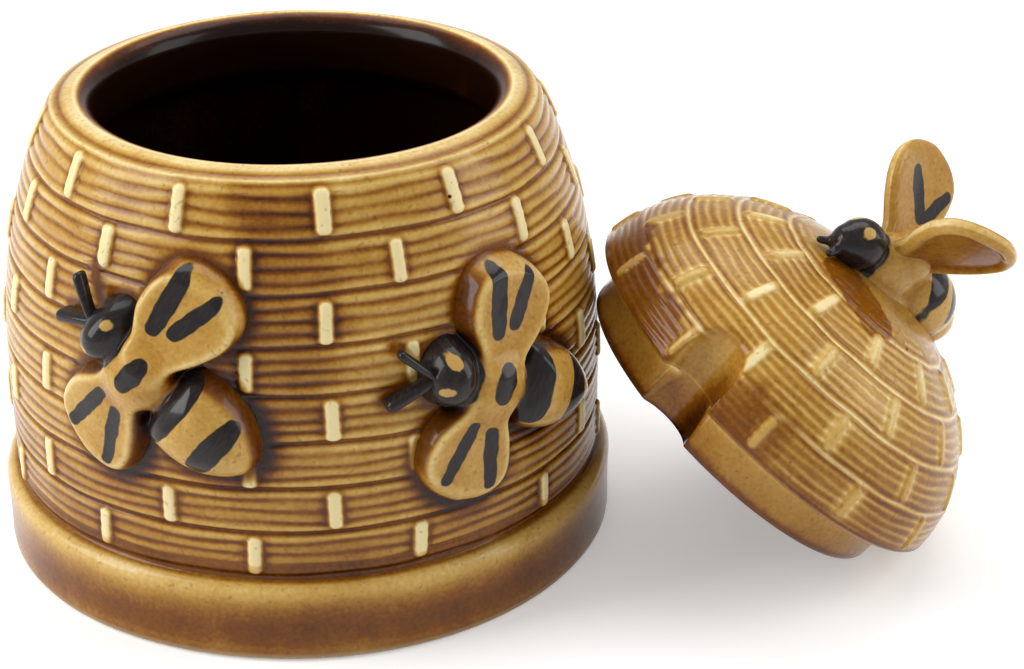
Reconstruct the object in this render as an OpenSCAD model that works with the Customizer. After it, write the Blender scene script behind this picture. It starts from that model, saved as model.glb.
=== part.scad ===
// Beehive honey pot in glazed stoneware, with its lift-off lid leaning beside it.
// Lengths are millimetres. The pot's axis is Z, its foot stands on the plane z = 0,
// and the lid leans on the +X side of the pot with the rim of its dome turned down.

/* [Foot band] */
// Radius of the smooth band round the foot
foot_r = 50.2; // [49:0.1:54]
// Height of the foot band
foot_h = 14; // [10:0.5:16]
// Rounding of the band's edges
foot_round = 1.4; // [0.6:0.1:3]

/* [Pot wall] */
// Height of the pot, foot to lip
pot_h = 75; // [72:0.5:80]
// Greatest radius of the coiled wall
belly_r = 48.2; // [47:0.1:49]
// Thickness of the wall
wall = 4.6; // [3.5:0.1:6]
// Thickness of the floor
floor_t = 5; // [4:0.1:8]
// Height at which the wall starts to draw in
shoulder_z = 24; // [20:1:28]
// How far the wall has drawn in where the coils end
shoulder_in = 9.7; // [8.5:0.1:10]
// How late and sharply the shoulder turns in
shoulder_bend = 2.7; // [2.2:0.1:3.2]

/* [Mouth] */
// Inner radius of the mouth
mouth_r = 31.5; // [31:0.1:32]
// Thickness of the rolled lip
lip_t = 6.2; // [5:0.1:7]
// Height of the straight throat below the roll
throat_h = 6; // [5:0.5:8]
// Height of the smooth strip between the coils and the top of the lip
strip_h = 1.4; // [1.2:0.1:2.4]

/* [Coils and stitches] */
// Rows of coiled straw round the pot
pot_rows = 8; // [6:1:9]
// Rows of coiled straw round the lid
lid_rows = 4; // [3:1:5]
// Fine ridges in one row
row_ridges = 4; // [3:1:5]
// Depth of the groove between ridges
groove = 0.5; // [0.3:0.1:0.7]
// Stitches round one row
stitches = 12; // [8:1:14]
// Width of a stitch
stitch_w = 2; // [1.4:0.1:3]
// Height that a stitch stands above the ridges
stitch_up = 0.6; // [0.3:0.1:1]
// Part of a row's height that a stitch covers
stitch_fill = 0.82; // [0.6:0.02:0.9]
// Turn of the pot's top row of stitches from +X
pot_stitch_turn = -20.5; // [-30:0.5:30]
// Turn of the lid's lowest row of stitches from the lid's own downhill side
lid_stitch_turn = 12; // [-15:0.5:15]

/* [Bees on the wall] */
// Turn of the front left bee from +X
left_bee_turn = -114.5; // [-120:0.5:-100]
// Height of the front left bee's wings above the foot
left_bee_z = 47; // [42:0.5:50]
// Droop of the front left bee's tail
left_bee_droop = 38; // [10:1:50]
// Turn of the front right bee from +X
right_bee_turn = -51.5; // [-56:0.5:-44]
// Height of the front right bee's wings above the foot
right_bee_z = 42; // [40:0.5:48]
// Droop of the front right bee's tail
right_bee_droop = 22; // [10:1:50]

/* [Bee sizes] */
// Radius of the head
head_r = 5.2; // [4:0.1:5.6]
// Height of the middle of a wall bee's head above the wall
head_up = 2.2; // [0:0.1:3]
// Distance from the middle of the wings forward to the middle of the head
head_off = 7.6; // [7:0.1:9.5]
// Radius of the back between the wings
thorax_r = 6.4; // [5.5:0.1:7]
// Radius of the back where it meets the head
neck_r = 4.5; // [3.5:0.1:5]
// Height of the back above the wall
thorax_up = 5.4; // [3.5:0.1:6.2]
// Radius of the abdomen at its fullest
abdomen_r = 7; // [6:0.1:7.6]
// Height of the abdomen above the wall
abdomen_up = 5.8; // [3.5:0.1:6.8]
// Radius of the abdomen at its tip
tail_r = 4; // [3:0.1:5]
// Distance from the middle of the wings back to the middle of the abdomen
abdomen_off = 11; // [9:0.5:13]
// Distance from the middle of the wings back to the tip of the tail
tail_off = 22; // [18:0.5:24]
// Distance from the body's middle line out to a wing's tip
wing_reach = 19.4; // [17:0.1:21]
// Width of a wing along the body
wing_w = 15.6; // [11:0.2:17]
// Thickness of a wing
wing_t = 3.2; // [2.6:0.1:4]
// Height of a wall bee's wings above the wall at their roots
wing_root_top = 4.4; // [3.3:0.1:5]
// Height of a wall bee's upper wing above the wall at its tip
upper_wing_top = 4.2; // [1.8:0.1:5]
// Height of a wall bee's lower wing above the wall at its tip
lower_wing_top = 2.4; // [1.8:0.1:5]
// Depth that a bee is bedded into the wall or the lid under it
bed = 1.6; // [1.2:0.1:2.4]
// Length of an antenna
antenna_l = 6; // [4:0.5:7]
// Radius of an antenna
antenna_r = 1; // [0.8:0.1:1.3]
// Height of a wall bee's antennae above the wall
antenna_top = 3.8; // [2:0.1:5]
// Spread of an antenna from the middle line of the pair
antenna_spread = 35; // [20:1:50]
// Turn of the pair of antennae towards the lower wing
antenna_turn = 18; // [0:1:25]

/* [Lid] */
// Radius of the dome's rim
dome_r = 35.6; // [35:0.1:37]
// Height of the dome above its rim
dome_h = 26.6; // [24:0.2:29]
// Angle round the dome's profile at which the lid's coils end and its smooth crown starts
lid_coil_end = 62; // [56:1:66]
// Gap between the lid's flange and the pot's mouth, all round
flange_gap = 1.3; // [0.6:0.1:2]
// Depth of the flange below the rim
flange_h = 7.8; // [5:0.1:9]
// Bevel of the flange's lower edge
flange_edge = 0.6; // [0.3:0.1:1.2]
// Thickness of the lid
lid_wall = 4.4; // [3.5:0.1:5.5]

/* [Dipper notch] */
// Width of the notch in the lid's rim
notch_w = 10; // [8:0.5:12]
// Height of the notch's arch above the rim
notch_h = 11; // [9:0.5:13]
// Thickness of the clay behind the notch's channel
notch_wall = 3.5; // [3:0.1:5]
// Lean of the notch's floor from the lid's axis
notch_lean = 20; // [14:1:24]
// Turn of the notch from the lid's own downhill side
notch_turn = -129; // [-135:1:-120]

/* [Bee knob] */
// Turn of the knob's tail from the lid's own downhill side
knob_turn = 22; // [-30:1:40]
// Droop of the knob's tail
knob_droop = 4; // [0:1:8]
// Height of the knob's back above the top of the dome
knob_up = 1.3; // [0.5:0.1:2.5]
// Distance from the dome's middle to the middle of the knob's head
knob_head_off = 8.3; // [7:0.1:11]
// Radius of the knob's head, a little smaller than the wall bees' heads
knob_head_r = 4.7; // [4:0.1:6]
// Height of the knob's head above its back
knob_head_up = 0.5; // [0:0.1:2.5]
// Distance from the dome's middle to the tip of the knob's tail
knob_tail_off = 18.4; // [16:0.1:20]
// Drop of the knob's tail below its back
knob_tail_drop = 2; // [0:0.1:3]
// Length of the knob's antennae, which are bent down onto the dome
knob_antenna_l = 3.5; // [2:0.1:5]
// Distance of a raised wing's root out from the knob's middle line
wing_root_out = 2; // [1:0.1:4]
// Height of a raised wing's root above the knob's middle line
wing_root_up = 5; // [1:0.1:5.5]
// Reach of a raised wing from its root to its tip
knob_wing_reach = 17.8; // [14:0.1:20]
// Rise of the knob's wings from level
wing_rise = 50; // [35:1:60]

/* [Lid leaning beside the pot] */
// Tilt of the lid from level
lean = 41.7; // [38:0.1:46]
// Turn of the lid's downhill side from +X
lean_turn = 2.4; // [0:0.1:6]
// Distance of the lid's middle in front of the pot's middle
lean_front = 9; // [6:0.5:12]
// Gap kept between the leaning lid and the pot's wall
lean_gap = 0.4; // [0.3:0.05:0.8]

/* [Hidden] */
$fn = 96;

glaze = "#b8822f";
pale_glaze = "#c9974a";
paint = "#3a3433";

front_left_bee = [left_bee_turn, left_bee_z, left_bee_droop];
front_right_bee = [right_bee_turn, right_bee_z, right_bee_droop];

lip_r = lip_t / 2;
lip_mid = mouth_r + lip_r;
lip_z = pot_h - lip_r;
// Smooth step left below the lowest coil, on the pot and on the lid
ledge = 0.8;
coil_z = foot_h + ledge;
coil_top = pot_h - strip_h;
row_h = (coil_top - coil_z) / pot_rows;

flange_r = mouth_r - flange_gap;
rim_edge = 1;
lid_coil_start = asin(ledge / dome_h);
lid_row_turn = (lid_coil_end - lid_coil_start) / lid_rows;

notch_r = notch_w / 2;
// How far a cut runs past the clay it cuts
overrun = 30;
// Facets round a ball that shapes a bee
hull_facets = 16;
// How far one part of a bee sinks into the next
weld = 0.6;
half_turn = 180;
// Half of the length over which the abdomen keeps its full width
belly_half = abdomen_r / 3;

// Outer radius of the pot's wall over the ridges, at a height.
function wall_r(z) =
    belly_r - shoulder_in * pow(max(0, z - shoulder_z) / (coil_top - shoulder_z), shoulder_bend);

// Outer radius of the lid's dome over the ridges, at a height above the rim.
function dome_at(h, r = dome_r, top = dome_h) = r * sqrt(max(0, 1 - pow(h / top, 2)));

// Point on the dome's profile at an angle round it, a depth below the ridges.
function on_profile(a, depth) = [(dome_r - depth) * cos(a), (dome_h - depth) * sin(a)];

// Points on an arc, from one angle to another.
function arc(x, y, r, from, to, steps) =
    [for (i = [0 : steps]) let (a = from + (to - from) * i / steps) [x + r * cos(a), y + r * sin(a)]];

upright = 90;

// Farthest that a corner of the lid's flange or rim reaches in a direction from its middle.
corners = [[flange_r - flange_edge, flange_h], [flange_r, flange_h - flange_edge], [dome_r, 0]];
function reach(turned) = max([for (c = corners) c[0] * cos(turned) + c[1] * sin(turned)]);

// The lid's middle stands where the lid touches the floor and just clears the pot's wall.
lean_z = reach(upright - lean);
touch_z = lean_z + flange_r * sin(lean) - flange_h * cos(lean);
touch_r = wall_r(touch_z);
flange_y = -lean_front - reach(lean) * sin(lean_turn);
flange_bend = flange_r / cos(lean);
touch_y = flange_y * touch_r / (touch_r + flange_bend);
touch_x = sqrt(touch_r * touch_r - touch_y * touch_y) - pow(touch_y - flange_y, 2) / (2 * flange_bend);
lean_x = touch_x + lean_gap + reach(lean) * cos(lean_turn);

// Outer side of the pot from the floor up to the lip: foot band, coils, lip.
foot_side = concat(
    [[0, 0], [foot_r - foot_round, 0]],
    arc(foot_r - foot_round, foot_round, foot_round, -60, 0, 3),
    arc(foot_r - foot_round, foot_h - foot_round, foot_round, 0, 60, 3),
    [[wall_r(foot_h) - groove, foot_h]]);
pot_ridges = pot_rows * row_ridges;
ridge_h = (coil_top - coil_z) / pot_ridges;
coil_side = [for (i = [0 : 2 * pot_ridges])
    let (z = coil_z + i * ridge_h / 2) [wall_r(z) - (i % 2 == 0 ? groove : 0), z]];
lip_side = arc(lip_mid, lip_z, lip_r, 45, 180, 9);

// Inner side of the pot from the throat down to the floor.
throat_z = lip_z - throat_h;
inner_top = throat_z - wall;
inner_steps = 10;
inner_side = concat(
    [[mouth_r, throat_z]],
    [for (i = [0 : inner_steps]) let (z = inner_top - (inner_top - floor_t - wall) * i / inner_steps)
        [wall_r(z) - wall, z]],
    arc(belly_r - 2 * wall, floor_t + wall, wall, 0, -90, 4),
    [[0, floor_t]]);

module stitch(r, z, slope, h) {
    depth = 2 * (groove + stitch_up);
    translate([r, 0, z]) rotate([0, -slope, 0])
        translate([stitch_up - depth / 2, 0, 0]) cube([depth, stitch_w, h], center = true);
}

module pot_stitches() {
    for (row = [0 : pot_rows - 1], i = [0 : stitches - 1]) {
        z = coil_top - (row + 0.5) * row_h;
        slope = atan2(wall_r(z - row_h / 2) - wall_r(z + row_h / 2), row_h);
        turn = pot_stitch_turn + (i + row % 2 / 2) * 360 / stitches;
        rotate([0, 0, turn]) stitch(wall_r(z), z, slope, stitch_fill * row_h / cos(slope));
    }
}

module pot_shell() color(glaze) {
    rotate_extrude() polygon(concat(foot_side, coil_side, lip_side, inner_side));
    pot_stitches();
}

// Puts its children on the wall, at a place given along and across a bee's body.
module on_wall(bee, along, across, proud) {
    z = bee[1] - along * sin(bee[2]) + across * cos(bee[2]);
    turn = bee[0] + (along * cos(bee[2]) + across * sin(bee[2])) / belly_r * 180 / PI;
    rotate([0, 0, turn]) translate([wall_r(z) + proud, 0, z]) children();
}

// Stations along a wing: share of its reach, and share of its half width.
wing_stations = [[0.15, 0.4], [0.4, 0.8], [0.65, 1], [0.87, 0.9], [1, 0.5]];
wing_edge = wing_t / 2;

// A wall bee's wing is solid down to the wall, and its top slopes from the root to the tip.
module wall_wing(bee, side) {
    tip_top = side > 0 ? upper_wing_top : lower_wing_top;
    for (i = [0 : len(wing_stations) - 2]) hull()
        for (s = [wing_stations[i], wing_stations[i + 1]], edge = [-1, 1], level = [0, 1])
            on_wall(bee, edge * s[1] * (wing_w / 2 - wing_edge), side * s[0] * (wing_reach - wing_edge),
                    level * (wing_root_top + (tip_top - wing_root_top) * s[0] - wing_edge))
                sphere(wing_edge, $fn = hull_facets);
}

// The clay behind the bees, which they are bedded on.
module wall_core() {
    rotate_extrude() polygon(concat(
        [[0, 0]], [for (i = [0 : 12]) let (z = coil_top * i / 12) [wall_r(z) - bed, z]], [[0, coil_top]]));
}

module wall_bee(bee) difference() {
    bee_form(bee);
    wall_core();
}

module bee_form(bee) {
    color(pale_glaze) {
        for (side = [-1, 1]) wall_wing(bee, side);
        hull() {
            on_wall(bee, 0, 0, thorax_up - thorax_r) sphere(thorax_r, $fn = hull_facets);
            on_wall(bee, -head_off / 2, 0, head_up / 2) sphere(neck_r, $fn = hull_facets);
        }
        hull() {
            for (end = [-1, 1]) on_wall(bee, abdomen_off + end * belly_half, 0, abdomen_up - abdomen_r)
                sphere(abdomen_r, $fn = hull_facets);
            on_wall(bee, tail_off - tail_r, 0, 0) sphere(tail_r, $fn = hull_facets);
        }
    }
    color(paint) {
        on_wall(bee, -head_off, 0, head_up) sphere(head_r, $fn = hull_facets);
        for (side = [-1, 1]) hull() for (level = [weld, antenna_top - antenna_r]) {
            on_wall(bee, -head_off - head_r + weld, 0, level) sphere(antenna_r, $fn = hull_facets);
            turned = side * antenna_spread - antenna_turn;
            on_wall(bee, -head_off - head_r + weld - antenna_l * cos(turned), antenna_l * sin(turned), level)
                sphere(antenna_r, $fn = hull_facets);
        }
    }
}

// The back pair stands half a turn round from the front pair.
function half_turn_on(bee) = [bee[0] + half_turn, bee[1], bee[2]];

// Takes its children from the lid's own frame, rim level on z = 0, to the leaning place.
module leaning() {
    translate([lean_x, -lean_front, lean_z]) rotate([0, 0, lean_turn]) rotate([0, lean, 0]) children();
}

// Outer side of the lid, from the flange's lower edge over the rim to the top of the dome.
lid_ridges = lid_rows * row_ridges;
lid_ridge_turn = (lid_coil_end - lid_coil_start) / lid_ridges;
lid_side = concat(
    [[flange_r - flange_edge, -flange_h], [flange_r, -flange_h + flange_edge], [flange_r, 0],
     [dome_r - groove - rim_edge, 0]],
    [for (i = [0 : 2 * lid_ridges]) let (a = lid_coil_start + i * lid_ridge_turn / 2)
        on_profile(a, i % 2 == 0 ? groove : 0)],
    [for (i = [1 : 4]) on_profile(lid_coil_end + (upright - lid_coil_end) * i / 4, 0)]);

// Inner side of the lid, from the top of the hollow down to the flange.
hollow_r = flange_r - lid_wall;
hollow_h = dome_h - lid_wall;
lid_hollow = concat(
    [for (i = [10 : -1 : 0]) let (h = hollow_h * sin(upright * i / 10)) [dome_at(h, hollow_r, hollow_h), h]],
    [[hollow_r, -flange_h]]);

// Plain dome and flange in one solid, drawn in from the outer faces.
module dome_blank(inset) {
    rotate_extrude() polygon(concat(
        [[0, -flange_h], [flange_r - inset, -flange_h], [flange_r - inset, 0]],
        [for (i = [0 : 12]) let (h = (dome_h - inset) * sin(90 * i / 12))
            [dome_at(h, dome_r - inset, dome_h - inset), h]]));
}

// Line of the notch's channel, which leans in from the dome to the flange.
module notch_line() {
    rotate([0, 0, notch_turn])
        translate([dome_at(notch_h) + notch_r * cos(notch_lean), 0, notch_h - notch_r * sin(notch_lean)])
            rotate([0, notch_lean, 0]) children();
}

module lid_stitches() {
    for (row = [0 : lid_rows - 1], i = [0 : stitches - 1]) {
        low = on_profile(lid_coil_start + row * lid_row_turn, 0);
        high = on_profile(lid_coil_start + (row + 1) * lid_row_turn, 0);
        middle = on_profile(lid_coil_start + (row + 0.5) * lid_row_turn, 0);
        slope = atan2(low[0] - high[0], high[1] - low[1]);
        turn = lid_stitch_turn + (i + row % 2 / 2) * 360 / stitches;
        rotate([0, 0, turn]) stitch(middle[0], middle[1], slope, stitch_fill * norm(high - low));
    }
}

module lid_form() difference() {
    union() {
        rotate_extrude() polygon(concat(lid_side, lid_hollow));
        lid_stitches();
        intersection() {
            dome_blank(rim_edge);
            notch_line() translate([0, 0, -overrun]) cylinder(r = notch_r + notch_wall, h = 2 * overrun);
        }
    }
    notch_line() translate([0, 0, -overrun]) {
        cylinder(r = notch_r, h = 2 * overrun);
        translate([0, -notch_r, 0]) cube([overrun, notch_w, 2 * overrun]);
    }
}

module lid_shell() color(glaze) leaning() lid_form();

// Takes its children from the knob's own frame, tail towards +X, to the top of the dome.
module on_dome() {
    translate([0, 0, dome_h]) rotate([0, 0, knob_turn]) rotate([0, knob_droop, 0])
        translate([0, 0, knob_up]) children();
}

module knob_form() {
    snout = knob_head_off + knob_head_r - weld;
    color(pale_glaze) {
        hull() {
            sphere(thorax_r, $fn = hull_facets);
            translate([-knob_head_off / 2, 0, knob_head_up]) sphere(neck_r, $fn = hull_facets);
        }
        hull() {
            translate([abdomen_off - belly_half, 0, 0]) sphere(abdomen_r, $fn = hull_facets);
            translate([knob_tail_off - tail_r, 0, -knob_tail_drop]) sphere(tail_r, $fn = hull_facets);
        }
    }
    color(paint) {
        translate([-knob_head_off, 0, knob_head_up]) sphere(knob_head_r, $fn = hull_facets);
        for (side = [-1, 1]) hull() {
            translate([-snout, 0, 0]) sphere(antenna_r, $fn = hull_facets);
            translate([-snout - knob_antenna_l * cos(antenna_spread),
                       side * knob_antenna_l * sin(antenna_spread), -knob_antenna_l * sin(antenna_spread)])
                sphere(antenna_r, $fn = hull_facets);
        }
    }
}

module knob_wing(side) {
    reach = knob_wing_reach - wing_edge;
    for (i = [0 : len(wing_stations) - 2]) hull()
        for (s = [wing_stations[i], wing_stations[i + 1]], edge = [-1, 1])
            translate([edge * s[1] * (wing_w / 2 - wing_edge),
                       side * (wing_root_out + s[0] * reach * cos(wing_rise)),
                       wing_root_up + s[0] * reach * sin(wing_rise)])
                sphere(wing_edge, $fn = hull_facets);
}

module knob_bee_body() leaning() difference() {
    on_dome() knob_form();
    dome_blank(bed);
}

module knob_wing_near() color(pale_glaze) leaning() on_dome() knob_wing(-1);
module knob_wing_far() color(pale_glaze) leaning() on_dome() knob_wing(1);

pot_shell();
wall_bee(front_left_bee);  // wall_bee_front_left
wall_bee(front_right_bee);  // wall_bee_front_right
wall_bee(half_turn_on(front_right_bee));  // wall_bee_back_left
wall_bee(half_turn_on(front_left_bee));  // wall_bee_back_right
lid_shell();
knob_bee_body();
knob_wing_near();
knob_wing_far();
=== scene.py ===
import math

import bmesh
import bpy
import numpy as np
from mathutils import Matrix, Vector
from mathutils.kdtree import KDTree


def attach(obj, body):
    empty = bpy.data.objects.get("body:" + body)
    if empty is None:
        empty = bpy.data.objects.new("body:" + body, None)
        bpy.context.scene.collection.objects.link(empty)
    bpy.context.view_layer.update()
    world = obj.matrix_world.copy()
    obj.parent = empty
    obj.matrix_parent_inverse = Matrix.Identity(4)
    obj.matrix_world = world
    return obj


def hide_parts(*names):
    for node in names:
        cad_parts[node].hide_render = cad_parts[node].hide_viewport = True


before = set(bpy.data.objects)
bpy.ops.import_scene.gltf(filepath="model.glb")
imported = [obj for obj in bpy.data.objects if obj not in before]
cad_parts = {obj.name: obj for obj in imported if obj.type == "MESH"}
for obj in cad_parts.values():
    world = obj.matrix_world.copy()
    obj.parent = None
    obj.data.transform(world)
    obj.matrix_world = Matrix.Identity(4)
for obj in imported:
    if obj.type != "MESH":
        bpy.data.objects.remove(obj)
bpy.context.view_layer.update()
mm = 0.001    # lengths below are millimetres until a mesh is written
scene = bpy.context.scene
print("frame loaded")


# ---- camera

camera = {
    "place": (0.03399, -0.3543, 0.2072),
    "tilt": 63.53,
    "lens": 84.375,
    "sensor": 36.0,
}


def makeCamera(spec):
    data = bpy.data.cameras.new("photoCamera")
    data.lens = spec["lens"]
    data.sensor_width = spec["sensor"]
    data.clip_start = 0.01
    obj = bpy.data.objects.new("photoCamera", data)
    scene.collection.objects.link(obj)
    obj.location = spec["place"]
    obj.rotation_euler = (math.radians(spec["tilt"]), 0, 0)
    scene.camera = obj


def linear(hexColor):
    out = []
    for i in (1, 3, 5):
        c = int(hexColor[i:i + 2], 16) / 255
        out.append(c / 12.92 if c <= 0.04045 else ((c + 0.055) / 1.055) ** 2.4)
    return (*out, 1.0)


# ---- small helpers for node trees

def feed(tree, socket, value):
    if isinstance(value, bpy.types.NodeSocket):
        tree.links.new(value, socket)
    else:
        socket.default_value = value


def addNode(tree, kind, inputs=None, **settings):
    node = tree.nodes.new(kind)
    for key, value in settings.items():
        setattr(node, key, value)
    for key, value in (inputs or {}).items():
        feed(tree, node.inputs[key], value)
    return node


def maths(tree, operation, a, b=None, c=None, clamp=False):
    node = addNode(tree, "ShaderNodeMath", operation=operation, use_clamp=clamp)
    for i, value in enumerate((a, b, c)):
        if value is not None:
            feed(tree, node.inputs[i], value)
    return node.outputs[0]


def vectorMaths(tree, operation, a, b=None, scale=None):
    node = addNode(tree, "ShaderNodeVectorMath", operation=operation)
    feed(tree, node.inputs[0], a)
    if b is not None:
        feed(tree, node.inputs[1], b)
    if scale is not None:
        feed(tree, node.inputs["Scale"], scale)
    return node


def mixColor(tree, factor, a, b):
    node = addNode(tree, "ShaderNodeMix", data_type="RGBA")
    feed(tree, node.inputs[0], factor)
    feed(tree, node.inputs[6], a)
    feed(tree, node.inputs[7], b)
    return node.outputs[2]


def softStep(tree, value, low, high):
    node = addNode(tree, "ShaderNodeMapRange", interpolation_type="SMOOTHSTEP")
    feed(tree, node.inputs["Value"], value)
    feed(tree, node.inputs["From Min"], low)
    feed(tree, node.inputs["From Max"], high)
    return node.outputs["Result"]


def noise(tree, where, size, detail=2.0, stretch=None):
    if stretch:
        where = addNode(tree, "ShaderNodeMapping", {"Vector": where, "Scale": stretch}).outputs[0]
    node = addNode(tree, "ShaderNodeTexNoise", {"Vector": where, "Scale": 1 / (size * mm), "Detail": detail})
    return node.outputs[0]


def colorRamp(tree, factor, stops):
    node = addNode(tree, "ShaderNodeValToRGB", {"Fac": factor})
    ramp = node.color_ramp
    while len(ramp.elements) < len(stops):
        ramp.elements.new(0.5)
    for element, (at, color) in zip(ramp.elements, stops):
        element.position = at
        element.color = linear(color)
    return node.outputs["Color"]


def newGroup(name, inputs, outputs):
    group = bpy.data.node_groups.new(name, "ShaderNodeTree")
    for label, kind, value in inputs:
        socket = group.interface.new_socket(label, in_out="INPUT", socket_type=kind)
        if value is not None:
            socket.default_value = value
    for label, kind in outputs:
        group.interface.new_socket(label, in_out="OUTPUT", socket_type=kind)
    return group, addNode(group, "NodeGroupInput").outputs, addNode(group, "NodeGroupOutput").inputs


def useGroup(tree, group, inputs):
    node = addNode(tree, "ShaderNodeGroup", node_tree=group)
    for key, value in inputs.items():
        feed(tree, node.inputs[key], value)
    return node.outputs


def attribute(tree, name):
    return addNode(tree, "ShaderNodeAttribute", attribute_name=name)


# ---- glaze: pale where it is thin on an edge, dark where it pools; the same inputs also carry painted shade and painted highlights

honeyGlaze = {
    "ramp": [(0.0, "#F2DFA6"), (0.2, "#D3AD60"), (0.4, "#B18130"), (0.6, "#824B09"),
             (0.8, "#4D2302"), (1.0, "#1C0A02")],
    "cloudSize": 16.0, "cloudShare": 0.32,
    "runSize": 5.0, "runShare": 0.16,
    "grainSize": 0.7, "grainShare": 0.22,
    "speckSize": 0.8, "speckColor": "#5A3414",
    "pinSpacing": 11.0, "pinRadius": 0.020, "pinColor": "#150A05",
    "peelSize": 2.4, "peelHeight": 0.02,
}


def makeGlazeGroup(spec):
    group, ins, outs = newGroup("kilnGlaze", [
        ("Base", "NodeSocketFloat", 0.4), ("Hollow", "NodeSocketFloat", 0.0),
        ("Break", "NodeSocketFloat", 1.0), ("PoolAndShade", "NodeSocketFloat", 0.0),
        ("ThinAndHighlight", "NodeSocketFloat", 0.0), ("Bare", "NodeSocketFloat", 0.0)], [
        ("Color", "NodeSocketColor"), ("Roughness", "NodeSocketFloat"),
        ("Coat", "NodeSocketFloat"), ("Height", "NodeSocketFloat")])
    where = addNode(group, "ShaderNodeTexCoord").outputs["Object"]
    cloud = maths(group, "SUBTRACT", noise(group, where, spec["cloudSize"], 3), 0.5)
    runs = maths(group, "SUBTRACT", noise(group, where, spec["runSize"], 3, (1, 1, 0.3)), 0.5)
    grain = maths(group, "SUBTRACT", noise(group, where, spec["grainSize"], 3), 0.5)
    thick = maths(group, "MULTIPLY_ADD", ins["Hollow"], ins["Break"], ins["Base"])
    thick = maths(group, "MULTIPLY_ADD", cloud, spec["cloudShare"], thick)
    thick = maths(group, "MULTIPLY_ADD", runs, spec["runShare"], thick)
    thick = maths(group, "MULTIPLY_ADD", grain, spec["grainShare"], thick)
    thick = maths(group, "MULTIPLY_ADD", ins["PoolAndShade"], 0.46, thick)
    thick = maths(group, "MULTIPLY_ADD", ins["ThinAndHighlight"], -0.40, thick)
    color = colorRamp(group, maths(group, "ADD", thick, 0.0, clamp=True), spec["ramp"])
    speck = softStep(group, noise(group, where, spec["speckSize"], 0), 0.70, 0.80)
    speck = maths(group, "MULTIPLY", speck, maths(group, "SUBTRACT", 1.0, softStep(group, ins["Base"], 0.5, 0.8)))
    color = mixColor(group, maths(group, "MULTIPLY", speck, 0.3), color, linear(spec["speckColor"]))
    pins = addNode(group, "ShaderNodeTexVoronoi", {"Vector": where, "Scale": 1 / (spec["pinSpacing"] * mm)})
    pin = maths(group, "SUBTRACT", 1.0, softStep(group, pins.outputs["Distance"], spec["pinRadius"],
                                                 2 * spec["pinRadius"]))
    color = mixColor(group, pin, color, linear(spec["pinColor"]))
    clayGrain = colorRamp(group, maths(group, "ADD", grain, 0.5), [(0.3, "#B79F7C"), (0.7, "#D6C4A4")])
    color = mixColor(group, ins["Bare"], color, clayGrain)
    feed(group, outs["Color"], color)
    rough = maths(group, "MULTIPLY_ADD", grain, 0.10, 0.24)
    feed(group, outs["Roughness"], maths(group, "MULTIPLY_ADD", ins["Bare"], 0.5, rough))
    feed(group, outs["Coat"], maths(group, "SUBTRACT", 1.0, ins["Bare"], clamp=True))
    feed(group, outs["Height"], maths(group, "SUBTRACT", noise(group, where, spec["peelSize"], 2), pin))
    return group


def makeStrokeGroup():
    group, ins, outs = newGroup("brushStroke", [
        ("Place", "NodeSocketVector", None), ("From", "NodeSocketVector", None),
        ("To", "NodeSocketVector", None), ("Width", "NodeSocketFloat", 2.0)], [
        ("Mask", "NodeSocketFloat")])
    along = vectorMaths(group, "SUBTRACT", ins["To"], ins["From"]).outputs[0]
    reach = vectorMaths(group, "SUBTRACT", ins["Place"], ins["From"]).outputs[0]
    share = maths(group, "DIVIDE", vectorMaths(group, "DOT_PRODUCT", reach, along).outputs["Value"],
                  vectorMaths(group, "DOT_PRODUCT", along, along).outputs["Value"], clamp=True)
    foot = vectorMaths(group, "SCALE", along, scale=share).outputs[0]
    gap = vectorMaths(group, "LENGTH", vectorMaths(group, "SUBTRACT", reach, foot).outputs[0]).outputs["Value"]
    half = maths(group, "MULTIPLY", ins["Width"], 0.5)
    swell = maths(group, "MULTIPLY_ADD", maths(group, "SINE", maths(group, "MULTIPLY", share, 3.14)), 0.18, -0.09)
    edge = maths(group, "MULTIPLY", half, maths(group, "ADD", swell, 1.0))
    feed(group, outs["Mask"], maths(group, "SUBTRACT", 1.0,
         softStep(group, gap, maths(group, "SUBTRACT", edge, 0.12), maths(group, "ADD", edge, 0.12))))
    return group


# strokes in the bee's own millimetres: tail towards +X, upper wing towards +Y
paintTone = {"color": "#1D1A1C", "warm": "#2F2520", "edge": "#0F0906", "eyeColor": "#BE9650"}
beePaint = {
    "strokes": [
        ((-2.3, 8.3), (-3.6, 16.2), 2.9), ((0.6, 9.6), (2.3, 17.1), 2.4),
        ((-1.9, -6.6), (-2.7, -15.4), 2.2), ((1.6, -7.0), (5.0, -15.4), 2.1),
        ((0.0, -0.6), (0.1, 2.7), 3.0),
        ((7.5, -3.9), (7.4, 4.9), 3.4), ((15.0, -3.4), (15.1, 3.9), 3.3)],
    "headLine": -3.5, "head": ((-7.5, 0.4), (4.1, 5.7)), "antennaLow": 0.0,
    "eyes": {"Left": [((-7.7, 3.2), (-7.1, 3.4), 1.2), ((-8.1, -2.4), (-7.5, -2.2), 1.3)],
             "Right": [((-9.1, 3.1), (-8.5, 3.3), 1.7), ((-9.3, -1.2), (-8.7, -1.0), 1.4)]},
}
knobPaint = {
    "strokes": [((7.0, -4.9), (7.0, 4.9), 3.7), ((11.7, -4.7), (11.7, 4.7), 2.9)],
    "headLine": -5.7, "head": ((-8.2, 0.0), (20.0, 20.0)), "antennaLow": -9.0,
    "eyes": [((-11.3, -1.7), (-10.8, -2.3), 1.3), ((-11.3, 1.7), (-10.8, 2.3), 1.3)],
}
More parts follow.
